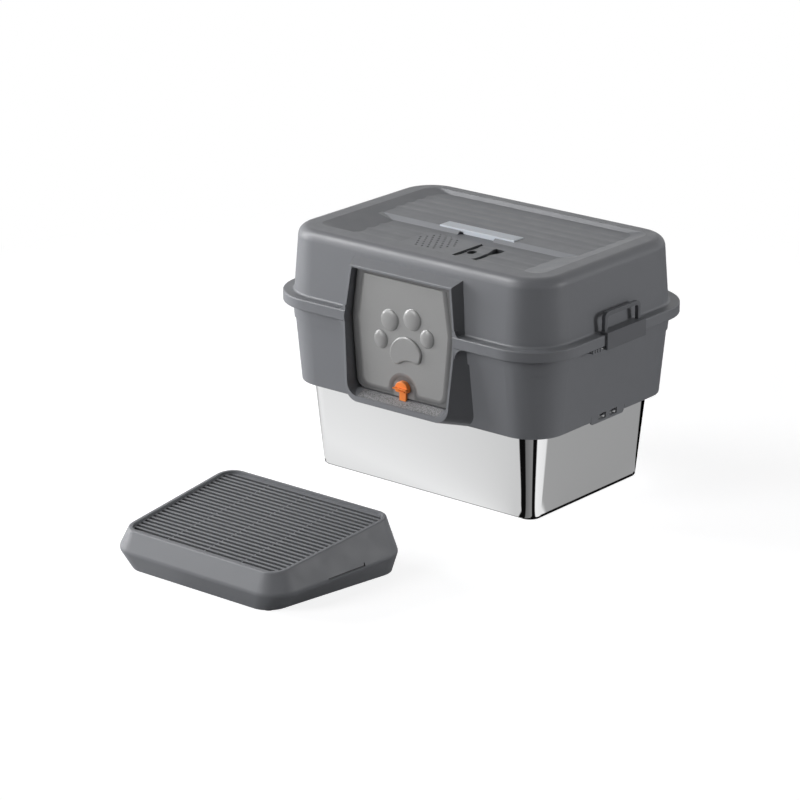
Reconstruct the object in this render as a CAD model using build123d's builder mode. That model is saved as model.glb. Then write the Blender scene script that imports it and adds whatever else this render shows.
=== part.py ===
from build123d import *
import math
import os

os.makedirs("parts", exist_ok=True)

# Enclosed litter box with a separate entry step. Sizes in millimetres, angles in degrees.
# X runs along the box, -Y is the door side, the floor is Z = 0 and the pan stands on the origin.

# Steel pan
pan_length = 475.0
pan_width = 312.6
pan_corner = 22.0
pan_height = 163.0
pan_draft = 5.95
pan_base_round = 5.0
sheet = 1.0
rim_reach = 16.5
rim_roll = 5.5
rim_round = 2.4

# Collar: the moulded middle ring that sits on the pan's rim
wall = 3.0
rim_clearance_ends = 4.0
rim_clearance_sides = 1.7
collar_overlap = 4.2
collar_corner = 64.0
collar_height = 145.2
collar_draft = 5.28
band_height = 30.0
band_step = 2.0
lip_height = 15.8
seat_thickness = 2.5
seat_overlap = 9.0
seat_gap = 0.3

# Hood: the moulded top with its flange
flange_overhang = 19.2
flange_height = 19.4
ledge_reach = 19.9
hood_height = 115.6
hood_draft = 4.45
roof_round = 18.0
ledge_round = 4.0
flange_round = 2.5
flange_foot_round = 1.5
web_round_above = 10.0
web_round_below = 18.0

# Roof tray with its stepped floor
tray_length = 486.0
tray_front = 152.0
tray_back = 165.0
tray_corner = 22.0
tray_depth = 6.0
tray_slope = 14.0
tray_slope_ends = 62.0
step_drop = 7.0
step_back = 6.0
step_front = 18.0
rib_length = 480.0
rib_width = 22.0
rib_height = 1.0
floor_rib_rows = ((0, 38.0), (0, 66.0), (0, 94.0), (0, 122.0), (1, -50.0), (1, -84.0), (1, -118.0))

# Doorway, measured on the flap's plane
door_top_half = 106.5
door_waist_half = 119.0
door_sill_half = 107.5
door_top_rise = 98.0
door_waist_rise = 10.0
door_sill_drop = 128.0
door_corner = 24.0
door_waist_round = 150.0
door_top_round = 6.0
door_lean = 2.9
door_face = 226.0
frame_side = 4.0
frame_top = 4.0
frame_bottom = 10.0
frame_flare = 38.0
frame_round = 1.5
porch_flare = 24.0
visor_slope = 29.0
frame_foot_slope = 10.0
porch_depth = 45.0
sill_front = 231.0
sill_run = 22.0
sill_rise = 8.0
sill_back = 185.0
sill_mat_half = 88.0
sill_mat_margin = 1.0
sill_mat_thickness = 1.0
sill_mat_gap = 0.2

# Flap and its rod
flap_face = 209.0
flap_thickness = 3.0
flap_side_gap = 3.5
flap_sill_gap = 2.0
flap_border = 19.0
relief_top = 8.0
relief_foot = 12.0
relief_corner = 12.0
flap_relief = 2.5
relief_slope = 8.0
rod_radius = 2.0
rod_axis_back = 2.0
rod_drop = 1.0
rod_half = 114.0
rod_play = 0.15
rod_fit = 0.05
barrel_radius = 3.6
barrel_half = 100.0
barrel_groove = 5.0
arch_radius = 33.0
arch_round = 7.0
paw_x = 5.0
paw_z = 273.0
paw_tilt = 11.0
paw_height = 4.0
pad_half = 35.5
pad_foot_half = 29.0
pad_rise = 24.0
pad_notch = 5.0
pad_round = 9.0
pad_edge = 3.4
toe_height = 5.0
inner_toe_x = 25.0
inner_toe_z = 53.0
inner_toe_width = 38.0
inner_toe_height = 39.0
outer_toe_x = 51.8
outer_toe_z = 19.8
outer_toe_width = 29.5
outer_toe_height = 33.0

# Lock bolt on the flap
bolt_radius = 14.0
bolt_chord = 4.5
bolt_rise = 22.5
knob_round = 1.5
bolt_depth = 9.0
bolt_stem_half = 7.0
bolt_stem_depth = 4.5
bolt_bite = 5.0
bolt_play = 1.0
bolt_travel = 6.5
bolt_grips = ((5.0, 14.0, 5.0), (0.5, 9.0, 3.5))
grip_thickness = 2.4
bolt_gap = 0.3
neck_half = 2.8
neck_height = 10.0
neck_foot = 196.0
clip_half = 8.0
clip_thickness = 2.0

# Side latches
latch_half = 55.0
latch_loop_half = 51.0
latch_plate = 3.6
latch_gap = 0.6
latch_hook = 3.3
latch_loop_height = 36.0
latch_loop_bar = 7.0
latch_loop_round = 10.0
latch_loop_inset = 11.9
latch_drop = 3.8
latch_inset = 4.0
latch_pin_radius = 1.4
latch_barrel = 2.8
ear_start = 63.0
ear_pitch = 7.0
ear_rib = 4.2
front_ears = 4
back_ears = 1

# Snap tabs on the collar's lower edge
tab_half = 47.0
tab_drop = 6.0
tab_slit = 2.0
tab_rise = 12.0
tab_corner = 5.5
window_inner = 5.5
window_width = 20.5
window_height = 11.0
barb_bite = 1.5

# Filter cover in the roof
cover_left = -84.0
cover_right = 35.0
cover_front = 131.0
cover_back = 41.0
cover_thickness = 3.0
cover_proud = 2.5
cover_lip_round = 1.2
cover_gap = 1.0
cover_ledge = 5.0
cover_pin = 0.8
cover_ear = 6.0
finger_slot = 4.5
finger_hole_length = 20.0
finger_hole_width = 16.0
finger_hole_depth = 8.0
finger_notch = 5.0
groove_depth = 7.0
groove_ends = 5.0
vent_hole = 2.4
vent_pitch = 11.5
vent_row_pitch = 11.0
vent_rows = (5, 6, 7, 8, 7, 6, 5)
vent_turn = 120.0
vent_x = -34.0
vent_y = -78.0
basket_depth = 15.0
basket_wall = 2.0
basket_gap = 1.5
basket_slots = 11
basket_slot_pitch = 9.0
basket_slot_width = 4.0
basket_slot_length = 30.0
pad_thickness = 10.0
bow_x = 79.0
bow_half_length = 48.0
bow_half_width = 11.0
bow_waist = 5.0
bow_shift = 5.5
bow_depth = 7.0

# Lift-up carry handle in the roof
handle_left = -84.5
handle_right = 78.5
handle_front = 8.0
handle_back = 19.5
handle_thickness = 5.0
handle_proud = 1.6
handle_gap = 0.6
handle_lip = 2.5
handle_lip_left = -32.0
handle_lip_right = 36.0
post_x = 70.0
post_radius = 4.5
post_play = 0.3
post_sleeve = 8.5
sleeve_length = 14.0
handle_travel = 22.0
stop_radius = 7.0
stop_thickness = 3.0
pocket_half = 38.0
pocket_depth = 12.0

# Entry step
step_x = 4.6
step_front_y = -746.3
step_depth = 284.8
step_front_half = 156.8
step_back_half = 202.9
step_crease_front_half = 184.8
step_crease_back_half = 207.5
step_top_front_half = 167.1
step_top_back_half = 181.7
step_crease_height = 32.0
step_crease_front = 10.7
step_crease_back = 14.5
step_crease_round = 10.0
step_top_inset_front = 4.9
step_top_inset_back = 0.5
step_edge_round = 3.0
step_front_height = 66.1
step_back_height = 91.1
step_foot_corner = 38.0
step_crease_corner = 50.0
step_top_corner = 30.0
step_wall = 3.5
step_foot = 1.0
step_foot_radius = 9.0
step_foot_margin = 0.5
step_foot_boss = 5.0
tread_border = 6.0
tread_gap = 0.5
tread_recess = 4.0
tread_thickness = 5.0
tread_frame = 2.5
tread_ledge = 7.0
slat_count = 25
slat_pitch = 10.7
slat_width = 4.8
cross_rib = 2.4
cross_ribs = 3
rib_drop = 1.6
rib_pitch = 80.0
slot_front_y = -640.0
slot_length = 84.0
slot_rise = 1.5
slot_height = 2.5
slot_depth = 2.0
slot_notch = 6.0


def spread(height, draft):
    """Sideways growth of a drafted wall over a height."""
    return height * math.tan(math.radians(draft))


def drafted(length, width, corner, bottom, top, draft):
    """Solid rounded box whose four walls lean outwards by draft as they rise."""
    grow = spread(top - bottom, draft)
    with BuildPart() as body:
        with BuildSketch(Plane.XY.offset(bottom)):
            RectangleRounded(length, width, corner)
        with BuildSketch(Plane.XY.offset(top)):
            RectangleRounded(length + 2 * grow, width + 2 * grow, corner + grow)
        loft(ruled=True)
    return body.part


def block(x_one, x_two, y_one, y_two, z_one, z_two):
    """Plain box between two corners, given in any order."""
    with BuildPart() as body:
        with BuildSketch(Plane.XY.offset(min(z_one, z_two))):
            with Locations(((x_one + x_two) / 2, (y_one + y_two) / 2)):
                Rectangle(abs(x_two - x_one), abs(y_two - y_one))
        extrude(amount=abs(z_two - z_one))
    return body.part


def rod_along_x(x_min, x_max, y, z, radius):
    """Round bar lying along X."""
    with BuildPart() as body:
        with BuildSketch(Plane.YZ.offset(x_min)):
            with Locations((y, z)):
                Circle(radius)
        extrude(amount=x_max - x_min)
    return body.part


def rod_along_y(y_min, y_max, x, z, radius):
    """Round bar lying along Y."""
    with BuildPart() as body:
        with BuildSketch(Plane.XZ.offset(-y_max)):
            with Locations((x, z)):
                Circle(radius)
        extrude(amount=y_max - y_min)
    return body.part


def collar_solid(bottom, top, margin):
    """Filled shape of the collar's wall between two heights, with a margin all round."""
    grow = margin + spread(bottom - collar_bottom, collar_draft)
    return drafted(collar_length + 2 * grow, collar_width + 2 * grow, collar_corner + grow,
                   bottom, top, collar_draft)


def hood_solid(bottom, top, margin):
    """Filled shape of the hood's wall between two heights, with a margin all round."""
    grow = margin - spread(bottom - flange_top, hood_draft)
    return drafted(hood_length + 2 * grow, hood_width + 2 * grow, hood_corner + grow,
                   bottom, top, -hood_draft)


def doorway(plane, side, above, below, corner):
    """Barrel-shaped door outline with margins added at the sides, above and below.

    The plane's own height is counted from the seam between collar and hood.
    """
    with BuildSketch(plane) as outline:
        with BuildLine():
            Polyline(
                (-door_top_half - side, door_top_rise + above),
                (-door_waist_half - side, door_waist_rise),
                (-door_sill_half - side, -door_sill_drop - below),
                (door_sill_half + side, -door_sill_drop - below),
                (door_waist_half + side, door_waist_rise),
                (door_top_half + side, door_top_rise + above),
                close=True,
            )
        make_face()
        corners = outline.vertices().group_by(Axis.Y)
        fillet(corners[0], corner)
        fillet(corners[1], door_waist_round)
        fillet(corners[2], door_top_round)
    return outline.sketch


def upright(y):
    """Vertical plane facing the door side at a distance y, its height counted from the seam."""
    return Plane(origin=(0, -y, seam), x_dir=(1, 0, 0), z_dir=(0, -1, 0))


def porch(side_flare, inset):
    """Solid surround of the doorway, widening from its leaning front face to the wall."""
    front = doorway(door_plane.offset(-inset), frame_side - inset, frame_top - inset,
                    frame_bottom - inset, door_corner + frame_side - inset)
    back = doorway(door_plane.offset(-porch_depth),
                   frame_side - inset + spread(porch_depth, side_flare),
                   frame_top - inset + spread(porch_depth, visor_slope),
                   frame_bottom - inset + spread(porch_depth, frame_foot_slope),
                   door_corner + frame_side - inset)
    with BuildPart() as body:
        loft(sections=[front, back], ruled=True)
        if inset == 0:
            fillet(body.faces().sort_by(Axis.Y)[0].outer_wire().edges(), frame_round)
    return body.part


def webs(radius, level, upwards):
    """Pair of concave corner fills between the door frame's sides and the flange."""
    edge = door_waist_half + frame_side
    with BuildPart() as body:
        for side in (-1, 1):
            with BuildSketch(upright(door_face)):
                with BuildLine():
                    Polyline(
                        (side * (edge + radius), level),
                        (side * (edge - radius), level),
                        (side * (edge - radius), level + upwards * radius),
                        (side * edge, level + upwards * radius),
                    )
                    RadiusArc(
                        (side * edge, level + upwards * radius),
                        (side * (edge + radius), level),
                        side * upwards * -radius,
                    )
                make_face()
            extrude(amount=-(door_face - hood_width / 2 + wall))
    return body.part


# Levels and half sizes that follow from the driving sizes
rim_length = pan_length + 2 * spread(pan_height, pan_draft) + 2 * rim_reach
rim_width = pan_width + 2 * spread(pan_height, pan_draft) + 2 * rim_reach
rim_corner = pan_corner + spread(pan_height, pan_draft) + rim_reach
collar_bottom = pan_height - collar_overlap
collar_length = rim_length + 2 * (rim_clearance_ends + wall)
collar_width = rim_width + 2 * (rim_clearance_sides + wall)
seam = collar_bottom + collar_height
lip_top = seam + lip_height
collar_grow = spread(collar_height, collar_draft)
flange_length = collar_length + 2 * (collar_grow + flange_overhang)
flange_width = collar_width + 2 * (collar_grow + flange_overhang)
flange_corner = collar_corner + collar_grow + flange_overhang
flange_top = seam + flange_height
hood_length = flange_length - 2 * ledge_reach
hood_width = flange_width - 2 * ledge_reach
hood_corner = flange_corner - ledge_reach
roof = flange_top + hood_height
back_floor = roof - tray_depth
front_floor = back_floor - step_drop
ceiling = front_floor - wall
door_top = seam + door_top_rise
door_sill = seam - door_sill_drop
rod_y = -flap_face + rod_axis_back
rod_z = door_top - rod_drop
porch_spread = door_waist_half + frame_side + spread(porch_depth, porch_flare)
door_plane = Plane(
    origin=(0, -door_face, seam),
    x_dir=(1, 0, 0),
    z_dir=(0, -math.cos(math.radians(door_lean)), math.sin(math.radians(door_lean))),
)
sill_slope = math.degrees(math.atan(sill_rise / sill_run))
sill_plane = Plane(
    origin=(0, -sill_front, door_sill),
    x_dir=(1, 0, 0),
    z_dir=(0, -math.sin(math.radians(sill_slope)), math.cos(math.radians(sill_slope))),
)
sill_length = math.hypot(sill_run, sill_rise)
mat_length = sill_length - 2 * sill_mat_margin
bolt_bottom = door_sill + sill_rise - bolt_bite - bolt_play
knob_foot = door_sill + bolt_rise
keeper_front = flap_face + bolt_gap + bolt_stem_depth + bolt_play

# Clear way through the doorway, with the sill left standing as a wedge
with BuildPart() as doorway_cut:
    extrude(doorway(upright(door_face + porch_depth), 0, 0, 0, door_corner),
            amount=-2 * porch_depth)
    with BuildSketch(Plane.YZ.offset(-porch_spread)):
        with BuildLine():
            Polyline(
                (-sill_front, door_sill),
                (-sill_front + sill_run, door_sill + sill_rise),
                (-sill_back, door_sill + sill_rise),
                (-sill_back, door_sill - frame_bottom),
                (-sill_front, door_sill - frame_bottom),
                close=True,
            )
        make_face()
    extrude(amount=2 * porch_spread, mode=Mode.SUBTRACT)

# Inner skin of the doorway, one wall thickness outside the clear way
with BuildPart() as doorway_skin:
    extrude(doorway(upright(door_face + porch_depth), wall, wall, wall, door_corner + wall),
            amount=-2 * porch_depth)

# Hollows behind the door frame, between its flared outside and its inner skin
with BuildPart() as frame_hollow:
    add(porch(frame_flare, wall))
    add(doorway_skin.part, mode=Mode.SUBTRACT)

with BuildPart() as visor_hollow:
    add(porch(porch_flare, wall))
    add(doorway_skin.part, mode=Mode.SUBTRACT)
    add(block(-porch_spread, porch_spread, -flange_width, 0, 0, seam), mode=Mode.SUBTRACT)

# Steel pan: tapered tub with a flat rim and a rolled outer edge
with BuildPart() as pan_space:
    add(drafted(pan_length - 2 * sheet, pan_width - 2 * sheet, pan_corner - sheet,
                sheet, pan_height + sheet, pan_draft))
    fillet(pan_space.edges().group_by(Axis.Z)[0], pan_base_round - sheet)

with BuildPart() as rim_bead:
    with BuildSketch(Plane.XY.offset(pan_height - rim_roll)):
        RectangleRounded(rim_length, rim_width, rim_corner)
        RectangleRounded(rim_length - 2 * rim_roll, rim_width - 2 * rim_roll,
                         rim_corner - rim_roll, mode=Mode.SUBTRACT)
    extrude(amount=rim_roll)
    outer_edges = rim_bead.edges().group_by(Axis.Z)
    fillet(outer_edges[0] + outer_edges[-1], rim_round)

with BuildPart() as steel_pan:
    add(drafted(pan_length, pan_width, pan_corner, 0, pan_height, pan_draft))
    fillet(steel_pan.edges().group_by(Axis.Z)[0], pan_base_round)
    with BuildSketch(Plane.XY.offset(pan_height - sheet)):
        RectangleRounded(rim_length - rim_roll, rim_width - rim_roll, rim_corner - rim_roll / 2)
    extrude(amount=sheet)
    add(rim_bead.part)
    add(pan_space.part, mode=Mode.SUBTRACT)
steel_pan.part.label = "steel_pan"
export_step(steel_pan.part, "parts/steel_pan.step")

# Collar: hollow drafted ring with a proud band, a seat on the pan's rim and the lower door frame
tab_wall = collar_length / 2
tab_bottom = collar_bottom - tab_drop
barb_top = pan_height - rim_roll - seat_gap
barb_reach = rim_clearance_ends + wall + barb_bite
band_bottom = seam - band_height
latch_x = flange_length / 2 - latch_inset
latch_z = seam - latch_drop
ear_top = seam - seat_gap
ear_bottom = latch_z - latch_barrel - seat_gap
ear_places = [-ear_start - rib * ear_pitch - ear_rib for rib in range(front_ears)]
ear_places += [ear_start + rib * ear_pitch for rib in range(back_ears)]

with BuildPart() as snap_tab:
    with BuildSketch(Plane.YZ.offset(-collar_length)):
        with Locations((0, collar_bottom)):
            RectangleRounded(2 * tab_half, 2 * tab_drop, tab_corner)
    extrude(amount=2 * collar_length)
    add(collar_solid(tab_bottom - wall, collar_bottom + wall, 0), mode=Mode.INTERSECT)

with BuildPart() as tab_slits:
    with BuildSketch(Plane.YZ.offset(-collar_length)):
        for edge in (-1, 1):
            with BuildLine():
                Polyline(
                    (edge * tab_half, tab_bottom - wall),
                    (edge * (tab_half + tab_slit), tab_bottom - wall),
                    (edge * (tab_half + tab_slit / 2), collar_bottom + tab_rise),
                    close=True,
                )
            make_face()
    extrude(amount=2 * collar_length)

with BuildPart() as collar_shell:
    add(collar_solid(collar_bottom, seam, 0))
    add(collar_solid(band_bottom, seam, band_step))
    add(collar_solid(seam, lip_top, 0))
    add(block(-porch_spread, porch_spread, -flange_width, 0, seam - seat_gap, lip_top + wall),
        mode=Mode.SUBTRACT)
    add(porch(frame_flare, 0))
    add(webs(web_round_below, -seat_gap, -1))
    add(block(-flange_length, flange_length, -flange_width, 0, seam - seat_gap, roof),
        mode=Mode.SUBTRACT)
    add(collar_solid(seam - seat_gap, lip_top, 0))
    add(block(-porch_spread, porch_spread, -flange_width, 0, seam - seat_gap, lip_top + wall),
        mode=Mode.SUBTRACT)
    add(snap_tab.part)
    for side in (-1, 1):
        for ear_y in ear_places:
            add(block(side * (tab_wall + wall), side * (latch_x + latch_barrel),
                      ear_y, ear_y + ear_rib, ear_bottom, ear_top))
    add(collar_solid(tab_bottom - wall, lip_top + wall, -wall), mode=Mode.SUBTRACT)
    add(frame_hollow.part, mode=Mode.SUBTRACT)
    with BuildSketch(Plane.XY.offset(pan_height + seat_gap)):
        RectangleRounded(collar_length - wall, collar_width - wall, collar_corner - wall / 2)
        RectangleRounded(rim_length - 2 * seat_overlap, rim_width - 2 * seat_overlap,
                         rim_corner - seat_overlap, mode=Mode.SUBTRACT)
    extrude(amount=seat_thickness)
    for side in (-1, 1):
        for edge in (-1, 1):
            window_outer = window_inner + window_width
            add(block(side * (tab_wall - barb_reach), side * (tab_wall - wall / 2),
                      edge * window_inner, edge * window_outer, tab_bottom + sheet, barb_top))
            add(block(side * (tab_wall - 2 * wall), side * (tab_wall + 2 * wall),
                      edge * window_inner, edge * window_outer,
                      barb_top, barb_top + window_height), mode=Mode.SUBTRACT)
        add(rod_along_y(-collar_width / 2, collar_width / 2, side * latch_x, latch_z,
                        latch_pin_radius), mode=Mode.SUBTRACT)
    add(tab_slits.part, mode=Mode.SUBTRACT)
    add(doorway_cut.part, mode=Mode.SUBTRACT)
    with BuildSketch(sill_plane):
        with Locations((0, sill_length / 2)):
            Rectangle(2 * (sill_mat_half + sill_mat_gap), mat_length + 2 * sill_mat_gap)
    extrude(amount=-sill_mat_thickness, mode=Mode.SUBTRACT)
    add(block(-bolt_stem_half - bolt_play, bolt_stem_half + bolt_play, -keeper_front,
              -flap_face, bolt_bottom - bolt_play, door_sill + sill_rise + wall),
        mode=Mode.SUBTRACT)
collar_shell.part.label = "collar_shell"
export_step(collar_shell.part, "parts/collar_shell.step")

# Tread mat let into the sloping sill, with a slot for the bolt
with BuildPart() as sill_mat:
    with BuildSketch(sill_plane):
        with Locations((0, sill_length / 2)):
            Rectangle(2 * sill_mat_half, mat_length)
    extrude(amount=-sill_mat_thickness)
    add(block(-bolt_stem_half - bolt_play, bolt_stem_half + bolt_play, -keeper_front,
              -flap_face + wall, bolt_bottom - bolt_play, door_sill + sill_rise + wall),
        mode=Mode.SUBTRACT)
sill_mat.part.label = "sill_mat"
export_step(sill_mat.part, "parts/sill_mat.step")

# Hood: drafted top with a hollow flange, the upper door frame and a stepped roof tray
cover_hinge_x = cover_left + cover_thickness / 2
cover_base = front_floor + cover_proud - cover_thickness
cover_hinge_z = cover_base + cover_thickness / 2
recess_floor = cover_base - seat_gap
groove_floor = recess_floor - groove_depth
opening_left = cover_hinge_x + cover_thickness
opening_right = cover_right - cover_ledge
opening_front = cover_front - cover_ledge
opening_back = cover_back + cover_ledge
cover_middle = (cover_front + cover_back) / 2
finger_x = cover_right + finger_slot + finger_hole_width / 2 + cover_gap
bow_y = cover_middle + bow_shift
bow_floor = front_floor - bow_depth
handle_top = back_floor + handle_proud
handle_base = handle_top - handle_thickness
handle_middle = (handle_back - handle_front) / 2
pocket_floor = handle_base - seat_gap
sleeve_bottom = pocket_floor - wall - sleeve_length
stop_top = sleeve_bottom - handle_travel - seat_gap

with BuildPart() as tray_space:
    for level, share in ((front_floor, 1), (roof, 0)):
        with BuildSketch(Plane.XY.offset(level)):
            with Locations((0, (tray_back - tray_front) / 2)):
                RectangleRounded(tray_length - 2 * share * tray_slope_ends,
                                 tray_back + tray_front - 2 * share * tray_slope, tray_corner)
    loft(ruled=True)
    with BuildSketch(Plane.XY.offset(roof)):
        with Locations((0, (tray_back - tray_front) / 2)):
            RectangleRounded(tray_length, tray_back + tray_front, tray_corner)
    extrude(amount=wall)
    with BuildSketch(Plane.YZ.offset(-tray_length / 2)):
        with BuildLine():
            Polyline(
                (-step_front, front_floor),
                (-step_back, back_floor),
                (tray_back, back_floor),
                (tray_back, front_floor),
                close=True,
            )
        make_face()
    extrude(amount=tray_length, mode=Mode.SUBTRACT)

with BuildPart() as roof_cavity:
    add(hood_solid(flange_top - wall, roof - wall, -wall))
    fillet(roof_cavity.edges().group_by(Axis.Z)[-1], roof_round - wall)
    with BuildSketch(Plane.XY.offset(ceiling)):
        with Locations((0, (tray_back - tray_front) / 2)):
            RectangleRounded(tray_length + 2 * wall, tray_back + tray_front + 2 * wall,
                             tray_corner + wall)
    extrude(amount=roof - ceiling, mode=Mode.SUBTRACT)
    with BuildSketch(Plane.XY.offset(ceiling - wall)):
        with Locations((0, tray_back / 2)):
            RectangleRounded(tray_length, tray_back - wall, tray_corner)
    extrude(amount=step_drop + wall)

with BuildPart() as hood_shell:
    add(hood_solid(flange_top - wall, roof, 0))
    fillet(hood_shell.edges().group_by(Axis.Z)[-1], roof_round)
    with BuildSketch(Plane.XY.offset(seam)):
        RectangleRounded(flange_length, flange_width, flange_corner)
    extrude(amount=flange_height)
    ledge = hood_shell.faces().filter_by_position(Axis.Z, flange_top - seat_gap, flange_top + seat_gap)
    fillet(ledge[0].outer_wire().edges(), flange_round)
    ledge = hood_shell.faces().filter_by_position(Axis.Z, flange_top - seat_gap, flange_top + seat_gap)
    fillet(ledge[0].inner_wires()[0].edges(), ledge_round)
    flange_foot = hood_shell.faces().filter_by_position(Axis.Z, seam - seat_gap, seam + seat_gap)
    fillet(flange_foot[0].outer_wire().edges(), flange_foot_round)
    with BuildSketch(Plane.XY.offset(seam)):
        RectangleRounded(flange_length - 2 * wall, flange_width - 2 * wall, flange_corner - wall)
    extrude(amount=flange_height - wall, mode=Mode.SUBTRACT)
    add(porch(porch_flare, 0))
    add(webs(web_round_above, flange_height, 1))
    add(block(-flange_length, flange_length, -flange_width, flange_width, 0, seam),
        mode=Mode.SUBTRACT)
    add(collar_solid(seam, lip_top + wall, -wall), mode=Mode.SUBTRACT)
    add(visor_hollow.part, mode=Mode.SUBTRACT)
    add(roof_cavity.part, mode=Mode.SUBTRACT)
    add(block(handle_left - wall, handle_right + wall, -step_front, handle_back + wall,
              pocket_floor - wall, back_floor))
    add(block(-pocket_half - wall, pocket_half + wall, -step_front, handle_middle + wall,
              pocket_floor - pocket_depth - wall, back_floor))
    for side in (-1, 1):
        with BuildSketch(Plane.XY.offset(sleeve_bottom)):
            with Locations((side * post_x, handle_middle)):
                Circle(post_sleeve)
        extrude(amount=pocket_floor - sleeve_bottom)
    add(block(opening_right, cover_right + finger_slot + wall, -cover_front - groove_ends - wall,
              -cover_back + wall, groove_floor - wall, front_floor))
    add(block(cover_right, finger_x + finger_hole_width / 2 + wall,
              -cover_middle - finger_hole_length / 2 - wall,
              -cover_middle + finger_hole_length / 2 + wall,
              front_floor - finger_hole_depth - wall, front_floor))
    add(block(bow_x - bow_half_width - wall, bow_x + bow_half_width + wall,
              -bow_y - bow_half_length - wall, -bow_y + bow_half_length + wall,
              bow_floor - wall, front_floor))
    add(tray_space.part, mode=Mode.SUBTRACT)
    for floor, rib_y in floor_rib_rows:
        rib_foot = back_floor - floor * step_drop
        with BuildSketch(Plane.YZ.offset(-rib_length / 2)):
            with BuildLine():
                Spline(
                    (rib_y - rib_width / 2, rib_foot),
                    (rib_y, rib_foot + rib_height),
                    (rib_y + rib_width / 2, rib_foot),
                    tangents=((1, 0), (1, 0)),
                )
                Polyline(
                    (rib_y + rib_width / 2, rib_foot),
                    (rib_y + rib_width / 2, rib_foot - rib_height),
                    (rib_y - rib_width / 2, rib_foot - rib_height),
                    (rib_y - rib_width / 2, rib_foot),
                )
            make_face()
        extrude(amount=rib_length)
    add(block(cover_left - cover_gap, cover_right, -cover_front - cover_gap,
              -cover_back + cover_gap, recess_floor, roof), mode=Mode.SUBTRACT)
    add(block(cover_right, cover_right + finger_slot, -cover_front - groove_ends,
              -cover_back, groove_floor, roof), mode=Mode.SUBTRACT)
    add(block(opening_left, opening_right, -opening_front, -opening_back,
              ceiling - wall, roof), mode=Mode.SUBTRACT)
    add(block(opening_right, cover_right, -cover_middle - finger_notch,
              -cover_middle + finger_notch, groove_floor, roof), mode=Mode.SUBTRACT)
    for edge in (-cover_front, -cover_back - cover_ledge):
        add(block(cover_left, cover_left + cover_ear, edge, edge + cover_ledge,
                  recess_floor, cover_base + cover_thickness - seat_gap))
    add(rod_along_y(-cover_front, -cover_back, cover_hinge_x, cover_hinge_z, cover_pin),
        mode=Mode.SUBTRACT)
    with BuildSketch(Plane.XY.offset(front_floor - finger_hole_depth)):
        with Locations((finger_x, -cover_middle)):
            Ellipse(finger_hole_width / 2, finger_hole_length / 2)
    extrude(amount=finger_hole_depth + wall, mode=Mode.SUBTRACT)
    with BuildSketch(Plane(origin=(bow_x, -bow_y, bow_floor))):
        with BuildLine():
            Polyline(
                (-bow_half_width, -bow_half_length),
                (bow_half_width, -bow_half_length),
                (bow_half_width, -bow_half_length + bow_half_width),
                (bow_waist, -bow_half_length + 2 * bow_half_width),
                (bow_waist, bow_half_length - 3 * bow_half_width),
                (bow_half_width, bow_half_length - bow_half_width),
                (bow_half_width, bow_half_length),
                (-bow_half_width, bow_half_length),
                (-bow_half_width, bow_half_length - bow_half_width),
                (-bow_waist, bow_half_length - 3 * bow_half_width),
                (-bow_waist, -bow_half_length + 2 * bow_half_width),
                (-bow_half_width, -bow_half_length + bow_half_width),
                close=True,
            )
        make_face()
    extrude(amount=bow_depth + wall, mode=Mode.SUBTRACT)
    add(block(handle_left - handle_gap, handle_right + handle_gap, -handle_front - handle_gap,
              handle_back + handle_gap, pocket_floor, roof), mode=Mode.SUBTRACT)
    add(block(-pocket_half, pocket_half, -step_front, -handle_front, front_floor, roof),
        mode=Mode.SUBTRACT)
    add(block(-pocket_half, pocket_half, -handle_front - handle_gap, handle_middle,
              pocket_floor - pocket_depth, roof), mode=Mode.SUBTRACT)
    with Locations((-post_x, handle_middle, roof), (post_x, handle_middle, roof)):
        Hole(post_radius + post_play, roof - sleeve_bottom)
    add(doorway_cut.part, mode=Mode.SUBTRACT)
    add(rod_along_x(-barrel_half - door_top_round, barrel_half + door_top_round,
                    rod_y, rod_z, barrel_groove), mode=Mode.SUBTRACT)
    add(rod_along_x(-rod_half, rod_half, rod_y, rod_z, rod_radius + rod_fit), mode=Mode.SUBTRACT)
hood_shell.part.label = "hood_shell"
export_step(hood_shell.part, "parts/hood_shell.step")

# Steel rod on which the flap swings
with BuildPart() as hinge_rod:
    add(rod_along_x(-rod_half, rod_half, rod_y, rod_z, rod_radius))
hinge_rod.part.label = "hinge_rod"
export_step(hinge_rod.part, "parts/hinge_rod.step")

# Flap: thin panel with a raised field, a paw in relief and a barrel round the rod
relief_face = flap_face + flap_relief
paw_plane = Plane(
    origin=(paw_x, -relief_face, paw_z),
    x_dir=(math.cos(math.radians(paw_tilt)), 0, math.sin(math.radians(paw_tilt))),
    z_dir=(0, -1, 0),
)
flap_foot = door_sill + sill_rise + flap_sill_gap
arch_z = flap_foot + relief_foot

with BuildPart() as paw:
    with BuildSketch(paw_plane):
        with BuildLine():
            ThreePointArc((-pad_half, -pad_half / 4), (0, pad_rise), (pad_half, -pad_half / 4))
            Line((pad_half, -pad_half / 4), (pad_foot_half, -pad_rise))
            Line((pad_foot_half, -pad_rise), (pad_half / 2, -pad_rise))
            ThreePointArc((pad_half / 2, -pad_rise), (0, pad_notch - pad_rise),
                          (-pad_half / 2, -pad_rise))
            Line((-pad_half / 2, -pad_rise), (-pad_foot_half, -pad_rise))
            Line((-pad_foot_half, -pad_rise), (-pad_half, -pad_half / 4))
        make_face()
    extrude(amount=paw_height)
    fillet(paw.edges().filter_by(Axis.Y), pad_round)
    fillet(paw.edges().group_by(Axis.Y)[0], pad_edge)
    for side in (-1, 1):
        for toe_x, toe_z, width, height in (
            (outer_toe_x, outer_toe_z, outer_toe_width, outer_toe_height),
            (inner_toe_x, inner_toe_z, inner_toe_width, inner_toe_height),
        ):
            toe = scale(Solid.make_sphere(1), by=(width / 2, height / 2, toe_height),
                        mode=Mode.PRIVATE)
            add(paw_plane * Pos(side * toe_x, toe_z, 0) * toe)


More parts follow.
